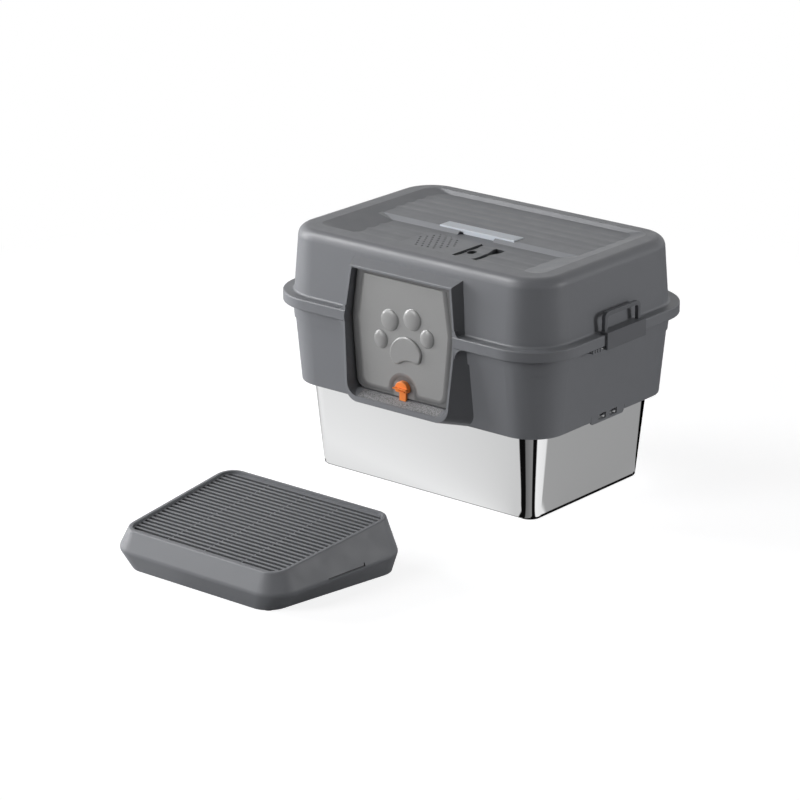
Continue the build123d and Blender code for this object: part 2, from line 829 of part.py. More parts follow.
def field_outline(spill):
    """Outline of the flap's raised field with an arch over the bolt, drawn outwards by the spill."""
    with BuildSketch() as outline:
        add(doorway(Plane.XY, spill - flap_side_gap - flap_border, -rod_drop - relief_top,
                    spill - sill_rise - flap_sill_gap - relief_foot, relief_corner + spill))
        with Locations((0, arch_z - seam)):
            Circle(arch_radius - spill, mode=Mode.SUBTRACT)
        arch_feet = outline.vertices().filter_by_position(Axis.X, -arch_radius - spill,
                                                          arch_radius + spill)
        fillet(arch_feet, arch_round)
    return outline.sketch


with BuildPart() as flap_panel:
    extrude(doorway(upright(flap_face), -flap_side_gap, -rod_drop,
                    -sill_rise - flap_sill_gap, door_corner - flap_side_gap),
            amount=-flap_thickness)
    loft(sections=[upright(flap_face) * field_outline(relief_slope),
                   upright(relief_face) * field_outline(0)], ruled=True)
    add(paw.part)
    add(rod_along_x(-barrel_half, barrel_half, rod_y, rod_z, barrel_radius))
    add(rod_along_x(-door_waist_half, door_waist_half, rod_y, rod_z, rod_radius + rod_play),
        mode=Mode.SUBTRACT)
    add(block(-neck_half - bolt_gap, neck_half + bolt_gap, -relief_face, 0,
              neck_foot - bolt_gap, neck_foot + neck_height + bolt_travel + bolt_gap),
        mode=Mode.SUBTRACT)
flap_panel.part.label = "flap_panel"
export_step(flap_panel.part, "parts/flap_panel.step")

# Bolt: half-round knob with two finger grips, stem down to the sill, neck through the flap
bolt_back = flap_face + bolt_gap
clip_face = flap_face - flap_thickness - bolt_gap

with BuildPart() as lock_bolt:
    with BuildSketch(upright(bolt_back)):
        with Locations((0, knob_foot + bolt_chord - seam)):
            Circle(bolt_radius)
        with Locations((0, knob_foot - seam)):
            Rectangle(2 * bolt_radius, bolt_radius, align=(Align.CENTER, Align.MAX),
                      mode=Mode.SUBTRACT)
    extrude(amount=bolt_depth)
    fillet(lock_bolt.edges().group_by(Axis.Y)[0], knob_round)
    for rise, half, reach in bolt_grips:
        add(block(-half, half, -bolt_back - bolt_depth - reach, -bolt_back - bolt_depth / 2,
                  knob_foot + rise, knob_foot + rise + grip_thickness))
    add(block(-bolt_stem_half, bolt_stem_half, -bolt_back - bolt_stem_depth, -bolt_back,
              bolt_bottom, knob_foot + bolt_radius / 2))
    add(block(-neck_half, neck_half, -bolt_back, -clip_face + clip_thickness,
              neck_foot, neck_foot + neck_height))
lock_bolt.part.label = "lock_bolt"
export_step(lock_bolt.part, "parts/lock_bolt.step")

# Clip that holds the bolt's neck behind the flap
with BuildPart() as lock_clip:
    add(block(-clip_half, clip_half, -clip_face, -clip_face + clip_thickness,
              neck_foot + neck_height / 2 - clip_half, neck_foot + neck_height / 2 + clip_half))
    add(block(-neck_half, neck_half, -clip_face, -clip_face + clip_thickness,
              neck_foot, neck_foot + neck_height), mode=Mode.SUBTRACT)
lock_clip.part.label = "lock_clip"
export_step(lock_clip.part, "parts/lock_clip.step")

# Latches: a plate that hooks over the flange, with a bail loop to pull on
loop_x = hood_length / 2 + latch_loop_inset
loop_foot = flange_top + latch_gap
plate_outer = flange_length / 2 + latch_gap + latch_plate
pin_front = ear_places[front_ears - 1]
pin_back = ear_places[-1] + ear_rib

for name, side in (("right", 1), ("left", -1)):
    with BuildPart() as latch:
        with BuildSketch(Plane.YZ.offset(side * loop_x - latch_loop_bar / 2)):
            with Locations((0, loop_foot)):
                RectangleRounded(2 * latch_loop_half, 2 * latch_loop_height, latch_loop_round)
                RectangleRounded(2 * (latch_loop_half - latch_loop_bar),
                                 2 * (latch_loop_height - latch_loop_bar),
                                 latch_loop_round - latch_loop_bar / 2, mode=Mode.SUBTRACT)
                Rectangle(2 * latch_loop_half, latch_loop_height, align=(Align.CENTER, Align.MAX),
                          mode=Mode.SUBTRACT)
        extrude(amount=latch_loop_bar)
        add(block(side * (loop_x - latch_loop_bar / 2), side * plate_outer,
                  -latch_half, latch_half, loop_foot, loop_foot + latch_hook))
        add(block(side * (plate_outer - latch_plate), side * plate_outer,
                  -latch_half, latch_half, latch_z - latch_barrel, loop_foot + latch_hook))
        fillet(latch.edges().filter_by(Axis.Y).sort_by(Axis.Z)[-1:], sheet)
        add(block(side * latch_x, side * plate_outer, -latch_half, latch_half,
                  latch_z - latch_barrel, latch_z))
        add(rod_along_y(-latch_half, latch_half, side * latch_x, latch_z, latch_barrel))
        add(rod_along_y(-latch_half, latch_half, side * latch_x, latch_z,
                        latch_pin_radius + rod_play), mode=Mode.SUBTRACT)
    latch.part.label = "latch_" + name
    export_step(latch.part, "parts/latch_" + name + ".step")

    with BuildPart() as pin:
        add(rod_along_y(pin_front, pin_back, side * latch_x, latch_z, latch_pin_radius - rod_fit))
    pin.part.label = "latch_pin_" + name
    export_step(pin.part, "parts/latch_pin_" + name + ".step")

# Filter cover: perforated tile hinged at its left edge
cover_top = cover_base + cover_thickness

with BuildPart() as filter_cover:
    with BuildSketch(Plane.XY.offset(cover_base)):
        with Locations(((cover_left + cover_right) / 2, -cover_middle)):
            Rectangle(cover_right - cover_left, cover_front - cover_back)
    extrude(amount=cover_thickness)
    fillet(filter_cover.edges().filter_by(Axis.Y).sort_by(Axis.X)[:2], cover_thickness * 0.49)
    fillet(filter_cover.edges().filter_by(Axis.X).group_by(Axis.Y)[0].group_by(Axis.Z)[-1],
           cover_lip_round)
    for edge in (-cover_front, -cover_back):
        add(block(cover_left, cover_left + cover_ear + seat_gap, edge - cover_ledge - seat_gap,
                  edge + cover_ledge + seat_gap, cover_base, cover_top), mode=Mode.SUBTRACT)
    add(rod_along_y(-cover_front, -cover_back, cover_hinge_x, cover_hinge_z, cover_pin),
        mode=Mode.SUBTRACT)
    row_way = math.radians(vent_turn)
    holes = []
    for row, count in enumerate(vent_rows):
        across = (row - (len(vent_rows) - 1) / 2) * vent_row_pitch
        for place in range(count):
            along = (place - (count - 1) / 2) * vent_pitch
            holes.append((
                vent_x + along * math.cos(row_way) + across * math.sin(row_way),
                vent_y + along * math.sin(row_way) - across * math.cos(row_way),
            ))
    with BuildSketch(Plane.XY.offset(cover_base)):
        with Locations(holes):
            Circle(vent_hole)
    extrude(amount=cover_thickness, mode=Mode.SUBTRACT)
filter_cover.part.label = "filter_cover"
export_step(filter_cover.part, "parts/filter_cover.step")

with BuildPart() as cover_pin_rod:
    add(rod_along_y(-cover_front, -cover_back, cover_hinge_x, cover_hinge_z, cover_pin - rod_fit))
cover_pin_rod.part.label = "cover_pin"
export_step(cover_pin_rod.part, "parts/cover_pin.step")

# Basket under the cover, with the carbon pad in it
basket_left = opening_left + basket_gap
basket_right = opening_right - 2 * basket_gap
basket_front = opening_front - basket_gap
basket_back = opening_back + basket_gap
basket_floor = cover_base - basket_depth

with BuildPart() as filter_basket:
    add(block(basket_left, basket_right, -basket_front, -basket_back, basket_floor, cover_base))
    add(block(basket_left + basket_wall, basket_right - basket_wall,
              -basket_front + basket_wall, -basket_back - basket_wall,
              basket_floor + basket_wall, cover_base), mode=Mode.SUBTRACT)
    with BuildSketch(Plane.XY.offset(basket_floor)):
        with Locations(((basket_left + basket_right) / 2, -(basket_front + basket_back) / 2)):
            with GridLocations(basket_slot_pitch, basket_slot_length + basket_wall, basket_slots, 2):
                SlotOverall(basket_slot_length, basket_slot_width, rotation=90)
    extrude(amount=basket_wall, mode=Mode.SUBTRACT)
filter_basket.part.label = "filter_basket"
export_step(filter_basket.part, "parts/filter_basket.step")

with BuildPart() as carbon_pad:
    add(block(basket_left + basket_wall + seat_gap, basket_right - basket_wall - seat_gap,
              -basket_front + basket_wall + seat_gap, -basket_back - basket_wall - seat_gap,
              basket_floor + basket_wall, basket_floor + basket_wall + pad_thickness))
carbon_pad.part.label = "carbon_pad"
export_step(carbon_pad.part, "parts/carbon_pad.step")

# Pull-up handle: bar over two posts with stop discs
with BuildPart() as handle_bar:
    add(block(handle_left, handle_right, -handle_front, handle_back, handle_base, handle_top))
    fillet(handle_bar.edges().group_by(Axis.Z)[-1], sheet)
    add(block(handle_lip_left, handle_lip_right, -handle_front, handle_lip - handle_front,
              front_floor + seat_gap, handle_base + sheet))
handle_bar.part.label = "handle_bar"
export_step(handle_bar.part, "parts/handle_bar.step")

for name, side in (("right", 1), ("left", -1)):
    with BuildPart() as post:
        with BuildSketch(Plane.XY.offset(stop_top)):
            with Locations((side * post_x, handle_middle)):
                Circle(post_radius)
        extrude(amount=handle_base - stop_top)
    post.part.label = "handle_post_" + name
    export_step(post.part, "parts/handle_post_" + name + ".step")

    with BuildPart() as stop:
        with BuildSketch(Plane.XY.offset(stop_top - stop_thickness)):
            with Locations((side * post_x, handle_middle)):
                Circle(stop_radius)
        extrude(amount=stop_thickness)
    stop.part.label = "handle_stop_" + name
    export_step(stop.part, "parts/handle_stop_" + name + ".step")

# Entry step: flared tub turned upside down, with a slatted tread let into its sloping top
step_slope = math.degrees(math.atan((step_back_height - step_front_height)
                                    / (step_depth - step_top_inset_front - step_top_inset_back)))
step_back_y = step_front_y + step_depth
step_top_length = (step_depth - step_top_inset_front - step_top_inset_back) / math.cos(
    math.radians(step_slope))
top_plane = Plane(
    origin=(0, step_front_y + step_top_inset_front, step_front_height),
    x_dir=(1, 0, 0),
    z_dir=(0, -math.sin(math.radians(step_slope)), math.cos(math.radians(step_slope))),
)


def trapezoid(plane, front_y, back_y, front_half, back_half, corner, inset):
    """Rounded trapezoid, narrower in front, drawn inwards all round by the inset."""
    with BuildSketch(plane) as outline:
        with BuildLine():
            Polyline(
                (step_x - front_half, front_y),
                (step_x + front_half, front_y),
                (step_x + back_half, back_y),
                (step_x - back_half, back_y),
                close=True,
            )
        make_face()
        fillet(outline.vertices(), corner)
        offset(amount=-inset, mode=Mode.REPLACE)
    return outline.sketch


def step_top(plane, inset):
    """Outline of the step's sloping top on a plane, drawn inwards by the inset."""
    return trapezoid(plane, 0, step_top_length, step_top_front_half, step_top_back_half,
                     step_top_corner, inset)


def step_solid(inset, top_inset, bottom):
    """Filled shape of the step, widest at its crease."""
    foot = trapezoid(Plane.XY.offset(bottom), step_front_y, step_back_y,
                     step_front_half, step_back_half, step_foot_corner, inset)
    crease = trapezoid(Plane.XY.offset(step_crease_height), step_front_y - step_crease_front,
                       step_back_y + step_crease_back, step_crease_front_half,
                       step_crease_back_half, step_crease_corner, inset)
    with BuildPart() as body:
        loft(sections=[foot, crease], ruled=True)
        loft(sections=[crease, step_top(top_plane.offset(-top_inset), inset)], ruled=True)
        bend = body.edges().filter_by_position(
            Axis.Z, step_crease_height - seat_gap, step_crease_height + seat_gap)
        fillet(bend, step_crease_round - inset)
    return body.part


tread_floor = tread_recess + tread_thickness

# Feet stand just inside the rounded corners of the step's lower edge
side_turn = math.atan2(step_back_half - step_front_half, step_depth)
foot_places = []
for end, half, end_y in ((-1, step_front_half, step_front_y), (1, step_back_half, step_back_y)):
    arc_x = half - end * step_foot_corner * math.tan(side_turn)
    arc_x -= step_foot_corner / math.cos(side_turn)
    arc_y = end_y - end * step_foot_corner
    way_x = math.cos(side_turn)
    way_y = end - math.sin(side_turn)
    reach = (step_foot_corner - step_foot_radius - step_foot_margin) / math.hypot(way_x, way_y)
    for side in (-1, 1):
        foot_places.append((step_x + side * (arc_x + reach * way_x), arc_y + reach * way_y))


slot_bottom = step_crease_height + slot_rise
slot_back_y = slot_front_y + slot_length

with BuildPart() as side_slot:
    add(block(0, 2 * step_back_half, slot_front_y, slot_back_y,
              slot_bottom, slot_bottom + slot_height))
    add(block(0, 2 * step_back_half, slot_back_y - slot_height, slot_back_y,
              slot_bottom, slot_bottom + slot_notch))
    add(step_solid(slot_depth, 0, 0), mode=Mode.SUBTRACT)

with BuildPart() as step_base:
    add(step_solid(0, 0, step_foot))
    top_face = step_base.faces().sort_by(Axis.Z)[-1]
    fillet(top_face.outer_wire().edges(), step_edge_round)
    add(step_solid(step_wall, tread_floor + step_wall, 0), mode=Mode.SUBTRACT)
    extrude(step_top(top_plane, tread_border), amount=-tread_floor, mode=Mode.SUBTRACT)
    extrude(step_top(top_plane, tread_border + tread_ledge),
            amount=-tread_floor - 2 * step_wall, mode=Mode.SUBTRACT)
    with BuildSketch(Plane.XY.offset(step_foot)):
        with Locations(foot_places):
            Circle(step_foot_radius)
    extrude(amount=step_foot_boss)
    add(side_slot.part, mode=Mode.SUBTRACT)
step_base.part.label = "step_base"
export_step(step_base.part, "parts/step_base.step")

# Slatted tread, resting on the ledge inside the step's rim
tread_plane = top_plane.offset(-tread_floor)

with BuildSketch() as slats:
    with Locations((0, step_top_length / 2)):
        with GridLocations(0, slat_pitch, 1, slat_count):
            Rectangle(2 * step_back_half, slat_width)

with BuildSketch() as ribs:
    with Locations((step_x, step_top_length / 2)):
        with GridLocations(rib_pitch, 0, cross_ribs, 1):
            Rectangle(cross_rib, step_top_length - 2 * (tread_border + tread_gap) - tread_frame)

with BuildSketch() as tread_gaps:
    add(step_top(Plane.XY, tread_border + tread_gap + tread_frame))
    add(slats.sketch, mode=Mode.SUBTRACT)

with BuildPart() as step_tread:
    extrude(step_top(tread_plane, tread_border + tread_gap), amount=tread_thickness)
    extrude(tread_plane * tread_gaps.sketch, amount=tread_thickness, mode=Mode.SUBTRACT)
    extrude(tread_plane * ribs.sketch, amount=tread_thickness - rib_drop)
step_tread.part.label = "step_tread"
export_step(step_tread.part, "parts/step_tread.step")

# Rubber feet under the step
for number, place in enumerate(foot_places, 1):
    with BuildPart() as foot:
        with BuildSketch():
            with Locations(place):
                Circle(step_foot_radius)
        extrude(amount=step_foot)
    foot.part.label = "step_foot_" + str(number)
    export_step(foot.part, "parts/step_foot_" + str(number) + ".step")
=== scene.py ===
import bpy
import math
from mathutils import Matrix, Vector

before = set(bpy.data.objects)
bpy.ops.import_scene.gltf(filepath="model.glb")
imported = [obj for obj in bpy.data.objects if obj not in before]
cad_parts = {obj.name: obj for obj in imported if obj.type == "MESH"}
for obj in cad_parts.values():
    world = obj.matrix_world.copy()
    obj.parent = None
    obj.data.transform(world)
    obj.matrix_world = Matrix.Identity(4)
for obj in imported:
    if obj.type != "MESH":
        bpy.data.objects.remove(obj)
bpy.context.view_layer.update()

# Studio. A pale floor and a pale room, a large soft lamp low on the left, weaker ones in
# front and behind on the right, one high on the left that only draws shine along edges, and
# a camera on a tall stand off the right front corner.
scene = bpy.context.scene
scene.view_settings.view_transform = "Standard"

camera_azimuth = math.radians(39.361)
camera_elevation = math.radians(18.857)
camera_data = bpy.data.cameras.new("camera")
camera_data.lens = 158.34
camera_data.sensor_width = 36.0
camera_data.clip_end = 50.0
camera = bpy.data.objects.new("camera", camera_data)
camera.location = (3.60762, -4.61863, 2.12778)
camera.rotation_euler = (math.pi / 2 - camera_elevation, 0.0, camera_azimuth)
scene.collection.objects.link(camera)
scene.camera = camera


def new_tree(owner):
    """Empty node tree of a material or of the world."""
    owner.use_nodes = True
    owner.node_tree.nodes.clear()
    return owner.node_tree


def add_node(tree, kind, **settings):
    """Node of a kind with its plain settings."""
    node = tree.nodes.new(kind)
    for name, value in settings.items():
        setattr(node, name, value)
    return node


def maths(tree, operation, *values):
    """Math node over values, each a socket or a number."""
    node = add_node(tree, "ShaderNodeMath", operation=operation)
    for slot, value in zip(node.inputs, values):
        if isinstance(value, float):
            slot.default_value = value
        else:
            tree.links.new(value, slot)
    return node.outputs[0]


def mix_shaders(tree, factor, first, second):
    """Blend of two shaders, the second one full where the factor is one."""
    mix = add_node(tree, "ShaderNodeMixShader")
    for slot, value in zip(mix.inputs, (factor, first, second)):
        tree.links.new(value, slot)
    return mix.outputs[0]


def colour_steps(tree, steps):
    """Colour ramp from a list of (place, grey or colour)."""
    ramp = add_node(tree, "ShaderNodeValToRGB")
    while len(ramp.color_ramp.elements) < len(steps):
        ramp.color_ramp.elements.new(1.0)
    for element, (place, colour) in zip(ramp.color_ramp.elements, steps):
        element.position = place
        shade = colour if isinstance(colour, tuple) else (colour, colour, colour)
        element.color = (*shade, 1.0)
    return ramp


room_strength = 0.14
world = bpy.data.worlds.new("room")
scene.world = world
room = new_tree(world)
room_light = add_node(room, "ShaderNodeBackground")
room_light.inputs["Strength"].default_value = room_strength
room_seen = add_node(room, "ShaderNodeBackground")
room_seen.inputs["Color"].default_value = (1, 1, 1, 1)
room_path = add_node(room, "ShaderNodeLightPath")
room_looked_at = maths(room, "MAXIMUM", room_path.outputs["Is Camera Ray"],
                       room_path.outputs["Is Glossy Ray"])
room_white = maths(room, "MAXIMUM", room_looked_at, room_path.outputs["Is Transmission Ray"])
room_out = add_node(room, "ShaderNodeOutputWorld")
room.links.new(mix_shaders(room, room_white, room_light.outputs[0], room_seen.outputs[0]),
               room_out.inputs["Surface"])


def soft_lamp(name, place, target, size, power):
    """Square soft lamp that looks at a point."""
    data = bpy.data.lights.new(name, "AREA")
    data.size = size
    data.energy = power
    lamp = bpy.data.objects.new(name, data)
    lamp.location = place
    aim = Vector(target) - Vector(place)
    lamp.rotation_euler = aim.to_track_quat("-Z", "Y").to_euler()
    scene.collection.objects.link(lamp)
    return lamp


soft_lamp("lamp_left", place=(-3.66, -1.35, 1.15), target=(0.0, -0.25, 0.2), size=1.9, power=148)
soft_lamp("lamp_front", place=(-1.50, -3.60, 1.60), target=(0.0, -0.25, 0.25), size=1.5, power=62)
soft_lamp("lamp_back_right", place=(3.4, 1.75, 1.15), target=(0.1, 0.0, 0.25), size=1.0, power=48)
edge_light = soft_lamp("lamp_edges", place=(-2.40, -1.40, 3.00), target=(0.0, -0.15, 0.3),
                       size=1.6, power=190)
edge_light.visible_diffuse = False

# Floor. Matt and softly glowing close to the box, fading into plain white further off, so that
# shadows stay near the box and the ground has no edge.
floor_half = 9.0
fade_start = 0.95
fade_end = 1.7
floor_data = bpy.data.meshes.new("floor")
floor_data.from_pydata(
    [(-floor_half, -floor_half, 0), (floor_half, -floor_half, 0),
     (floor_half, floor_half, 0), (-floor_half, floor_half, 0)], [], [(0, 1, 2, 3)])
floor = bpy.data.objects.new("floor", floor_data)
scene.collection.objects.link(floor)

floor_paint = bpy.data.materials.new("floor_paint")
paint = new_tree(floor_paint)
floor_place = add_node(paint, "ShaderNodeTexCoord")
floor_axes = add_node(paint, "ShaderNodeSeparateXYZ")
paint.links.new(floor_place.outputs["Object"], floor_axes.inputs[0])
floor_reach = add_node(paint, "ShaderNodeVectorMath", operation="LENGTH")
paint.links.new(floor_place.outputs["Object"], floor_reach.inputs[0])
floor_far = add_node(paint, "ShaderNodeMapRange", interpolation_type="SMOOTHSTEP")
floor_far.inputs["From Min"].default_value = fade_start
floor_far.inputs["From Max"].default_value = fade_end
paint.links.new(floor_reach.outputs["Value"], floor_far.inputs["Value"])
floor_matt = add_node(paint, "ShaderNodeBsdfDiffuse")
floor_matt.inputs["Color"].default_value = (0.50, 0.50, 0.51, 1)
floor_glow = add_node(paint, "ShaderNodeEmission")
floor_glow.inputs["Strength"].default_value = 0.80
floor_white = add_node(paint, "ShaderNodeEmission")
floor_near = add_node(paint, "ShaderNodeAddShader")
paint.links.new(floor_matt.outputs[0], floor_near.inputs[0])
paint.links.new(floor_glow.outputs[0], floor_near.inputs[1])
floor_seen = mix_shaders(paint, floor_far.outputs["Result"], floor_near.outputs[0],
                         floor_white.outputs[0])

# Painted reflection: the floor shows dark bands to glossy rays only, and only the polished steel
# mirrors them. Angle by angle round the pan's right front corner they are black, grey, black and
# white again. More lie behind the pan, and painted shade lies under its foot.
corner_x = 0.2155
corner_y = 0.1343
foot_reach_x = 0.030
foot_reach_y = 0.023


def turn_about(tree, axes, centre_y, low, high):
    """Direction seen from a right-hand corner of the pan, 0 to 1 between two angles."""
    east = maths(tree, "SUBTRACT", axes.outputs["X"], corner_x)
    north = maths(tree, "SUBTRACT", axes.outputs["Y"], centre_y)
    turn = add_node(tree, "ShaderNodeMapRange")
    turn.inputs["From Min"].default_value = math.radians(low)
    turn.inputs["From Max"].default_value = math.radians(high)
    tree.links.new(maths(tree, "ARCTAN2", north, east), turn.inputs["Value"])
    return turn.outputs["Result"]


def within(tree, value, limit):
    """One where a coordinate lies between minus and plus a limit."""
    return maths(tree, "LESS_THAN", maths(tree, "ABSOLUTE", value), limit)


# Painted reflection: bands round the pan's right front corner, seen only in the steel.
front_painted_bands = colour_steps(paint, [
    (0.000, 0.82), (0.030, 0.93), (0.080, 0.80), (0.150, 0.66), (0.186, 0.66), (0.192, 0.004),
    (0.272, 0.004), (0.284, 0.17), (0.386, 0.26), (0.394, 0.004), (0.444, 0.004), (0.456, 0.96),
    (0.600, 0.88), (0.622, 0.38), (0.720, 0.345), (1.000, 0.60)])
paint.links.new(turn_about(paint, floor_axes, -corner_y, -180.0, 180.0), front_painted_bands.inputs["Fac"])
# Painted reflection: dark bands behind the pan, seen only in the steel.
rear_painted_bands = colour_steps(paint, [(0.00, 1.0), (0.05, 0.0), (0.80, 0.0), (0.95, 1.0)])
paint.links.new(turn_about(paint, floor_axes, corner_y, 56.0, 150.0), rear_painted_bands.inputs["Fac"])
painted_bands = add_node(paint, "ShaderNodeMix", data_type="RGBA", blend_type="MULTIPLY")
painted_bands.inputs["Factor"].default_value = 1.0
paint.links.new(front_painted_bands.outputs["Color"], painted_bands.inputs["A"])
paint.links.new(rear_painted_bands.outputs["Color"], painted_bands.inputs["B"])

# Painted shade under the pan's foot, seen only in the steel's reflection.
under_foot_painted_shade = maths(paint, "MULTIPLY",
                   within(paint, floor_axes.outputs["X"], corner_x + foot_reach_x),
                   within(paint, floor_axes.outputs["Y"], corner_y + foot_reach_y))
foot_painted_shade_tone = colour_steps(paint, [(0.0, 0.30), (1.0, 0.004)])
paint.links.new(maths(paint, "GREATER_THAN", floor_axes.outputs["X"], corner_x),
                foot_painted_shade_tone.inputs["Fac"])
painted_reflection_tones = add_node(paint, "ShaderNodeMix", data_type="RGBA")
paint.links.new(under_foot_painted_shade, painted_reflection_tones.inputs["Factor"])
paint.links.new(painted_bands.outputs["Result"], painted_reflection_tones.inputs["A"])
paint.links.new(foot_painted_shade_tone.outputs["Color"], painted_reflection_tones.inputs["B"])
floor_painted_reflection = add_node(paint, "ShaderNodeEmission")
paint.links.new(painted_reflection_tones.outputs["Result"], floor_painted_reflection.inputs["Color"])
floor_path = add_node(paint, "ShaderNodeLightPath")
floor_bounce = mix_shaders(paint, floor_path.outputs["Is Camera Ray"], floor_matt.outputs[0],
                           floor_seen)
floor_all = mix_shaders(paint, floor_path.outputs["Is Glossy Ray"], floor_bounce,
                        floor_painted_reflection.outputs[0])
floor_out = add_node(paint, "ShaderNodeOutputMaterial")
paint.links.new(floor_all, floor_out.inputs["Surface"])
floor_data.materials.append(floor_paint)


# Steel pan. Deep-drawn from one sheet of stainless steel, polished like a mirror, with its
# rim rolled over. The drawing leaves faint upright lines, and the walls are very slightly wavy.


def dress(names, finish):
    """Gives solids of the frame their finish."""
    for name in names:
        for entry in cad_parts[name].material_slots:
            entry.material = finish


def plain_shader(tree, base, roughness):
    """Principled shader with its output, and its plain colour and roughness."""
    shader = add_node(tree, "ShaderNodeBsdfPrincipled")
    out = add_node(tree, "ShaderNodeOutputMaterial")
    shader.inputs["Base Color"].default_value = (*base, 1.0)
    shader.inputs["Roughness"].default_value = roughness
    tree.links.new(shader.outputs[0], out.inputs["Surface"])
    return shader


def place_on(tree, stretch=(1.0, 1.0, 1.0)):
    """Object coordinates, stretched for a pattern."""
    where = add_node(tree, "ShaderNodeTexCoord")
    mapping = add_node(tree, "ShaderNodeMapping")
    mapping.inputs["Scale"].default_value = stretch
    tree.links.new(where.outputs["Object"], mapping.inputs["Vector"])
    return mapping.outputs["Vector"]


def speckle(tree, place, scale, detail=2.0):
    """Fine cloudy pattern, from 0 to 1."""
    noise = add_node(tree, "ShaderNodeTexNoise")
    noise.inputs["Scale"].default_value = scale
    noise.inputs["Detail"].default_value = detail
    tree.links.new(place, noise.inputs["Vector"])
    return noise.outputs["Fac"]


def between(tree, value, low, high, from_low=0.3, from_high=0.7):
    """A pattern or a coordinate mapped to a range."""
    spread = add_node(tree, "ShaderNodeMapRange")
    spread.inputs["From Min"].default_value = from_low
    spread.inputs["From Max"].default_value = from_high
    spread.inputs["To Min"].default_value = low
    spread.inputs["To Max"].default_value = high
    tree.links.new(value, spread.inputs["Value"])
    return spread.outputs["Result"]


def relief(tree, shader, height, depth, strength=1.0):
    """Bump of a height pattern, depth in metres."""
    bump = add_node(tree, "ShaderNodeBump")
    bump.inputs["Strength"].default_value = strength
    bump.inputs["Distance"].default_value = depth
    tree.links.new(height, bump.inputs["Height"])
    tree.links.new(bump.outputs["Normal"], shader.inputs["Normal"])


polished_steel = bpy.data.materials.new("polished_steel")
polish = new_tree(polished_steel)
pan_shader = plain_shader(polish, base=(0.86, 0.865, 0.87), roughness=0.05)
pan_shader.inputs["Metallic"].default_value = 1.0
drawing_lines = speckle(polish, place_on(polish, stretch=(1.0, 1.0, 0.06)), scale=260.0)
polish.links.new(between(polish, drawing_lines, low=0.035, high=0.085),
                 pan_shader.inputs["Roughness"])
pan_waves = speckle(polish, place_on(polish, stretch=(1.0, 1.0, 0.5)), scale=9.0, detail=1.0)
relief(polish, pan_shader, pan_waves, depth=0.0006, strength=0.25)
dress(["steel_pan"], polished_steel)


# Collar. Injection-moulded polypropylene in a cool mid grey with a fine satin grain, standing
# on the pan's rim. Its snap tabs clip under the rim, and its lip centres the hood.


def moulded_plastic(name, tone, roughness, grain_scale, grain_depth):
    """Satin moulded plastic: slight clouding, fine grain, patches a little duller."""
    finish = bpy.data.materials.new(name)
    tree = new_tree(finish)
    shader = plain_shader(tree, tone, roughness)
    shader.inputs["Specular IOR Level"].default_value = 0.26
    clouds = speckle(tree, place_on(tree), scale=7.0, detail=3.0)
    tint = add_node(tree, "ShaderNodeMix", data_type="RGBA")
    tint.inputs["A"].default_value = (*[part * 0.975 for part in tone], 1.0)
    tint.inputs["B"].default_value = (*[part * 1.025 for part in tone], 1.0)
    tree.links.new(clouds, tint.inputs["Factor"])
    tree.links.new(tint.outputs["Result"], shader.inputs["Base Color"])
    patches = speckle(tree, place_on(tree), scale=38.0, detail=4.0)
    tree.links.new(between(tree, patches, low=roughness - 0.04, high=roughness + 0.05),
                   shader.inputs["Roughness"])
    grain = speckle(tree, place_on(tree), scale=grain_scale, detail=1.0)
    relief(tree, shader, grain, depth=grain_depth, strength=0.35)
    return finish


shell_grey = (0.205, 0.211, 0.226)
collar_grey = moulded_plastic("collar_grey", tone=shell_grey, roughness=0.46,
                              grain_scale=1400.0, grain_depth=0.00006)
dress(["collar_shell"], collar_grey)


# Tread strip let into the door's sloping sill. Moulded with a coarse anti-slip grain that
# catches the light in grains, and held in its pocket by its own edge.

sill_grain = bpy.data.materials.new("sill_grain")
strip = new_tree(sill_grain)
strip_shader = plain_shader(strip, base=(0.235, 0.235, 0.240), roughness=0.62)
strip_cells = add_node(strip, "ShaderNodeTexVoronoi")
strip_cells.inputs["Scale"].default_value = 430.0
strip.links.new(place_on(strip), strip_cells.inputs["Vector"])
strip_tone = colour_steps(strip, [(0.0, (0.36, 0.36, 0.368)), (0.40, (0.24, 0.24, 0.246)),
                                  (0.9, (0.10, 0.10, 0.105))])
strip.links.new(strip_cells.outputs["Distance"], strip_tone.inputs["Fac"])
strip.links.new(strip_tone.outputs["Color"], strip_shader.inputs["Base Color"])
relief(strip, strip_shader, strip_cells.outputs["Distance"], depth=-0.0005, strength=0.8)
dress(["sill_mat"], sill_grain)


# Latch pins, cover pin and the flap's rod. Drawn steel wire, cut to length and pressed into
# the collar's ears, the roof and the cheeks of the hood, with fine lines along its length.


def drawn_wire(name, stretch):
    """Drawn steel with fine lines along the wire."""
    finish = bpy.data.materials.new(name)
    tree = new_tree(finish)
    shader = plain_shader(tree, base=(0.62, 0.62, 0.61), roughness=0.3)
    shader.inputs["Metallic"].default_value = 1.0
    lines = speckle(tree, place_on(tree, stretch), scale=900.0)
    tree.links.new(between(tree, lines, low=0.22, high=0.42), shader.inputs["Roughness"])
    relief(tree, shader, lines, depth=0.00004, strength=0.4)
    return finish


wire_along_y = drawn_wire("wire_along_y", stretch=(1.0, 0.03, 1.0))
wire_along_x = drawn_wire("wire_along_x", stretch=(0.03, 1.0, 1.0))
dress(["latch_pin_left", "latch_pin_right", "cover_pin"], wire_along_y)
dress(["hinge_rod"], wire_along_x)


# Hood. The second large moulding, of the same plastic as the collar, with a flange that drops
# over the collar's lip and a stepped tray in the roof. Painted shade darkens its recesses and
# the outer sides of the door frame, and a painted highlight lightens the tray's ridge.


def shader_of(finish):
    """The shader of a finished material."""
    return next(node for node in finish.node_tree.nodes if node.type == "BSDF_PRINCIPLED")


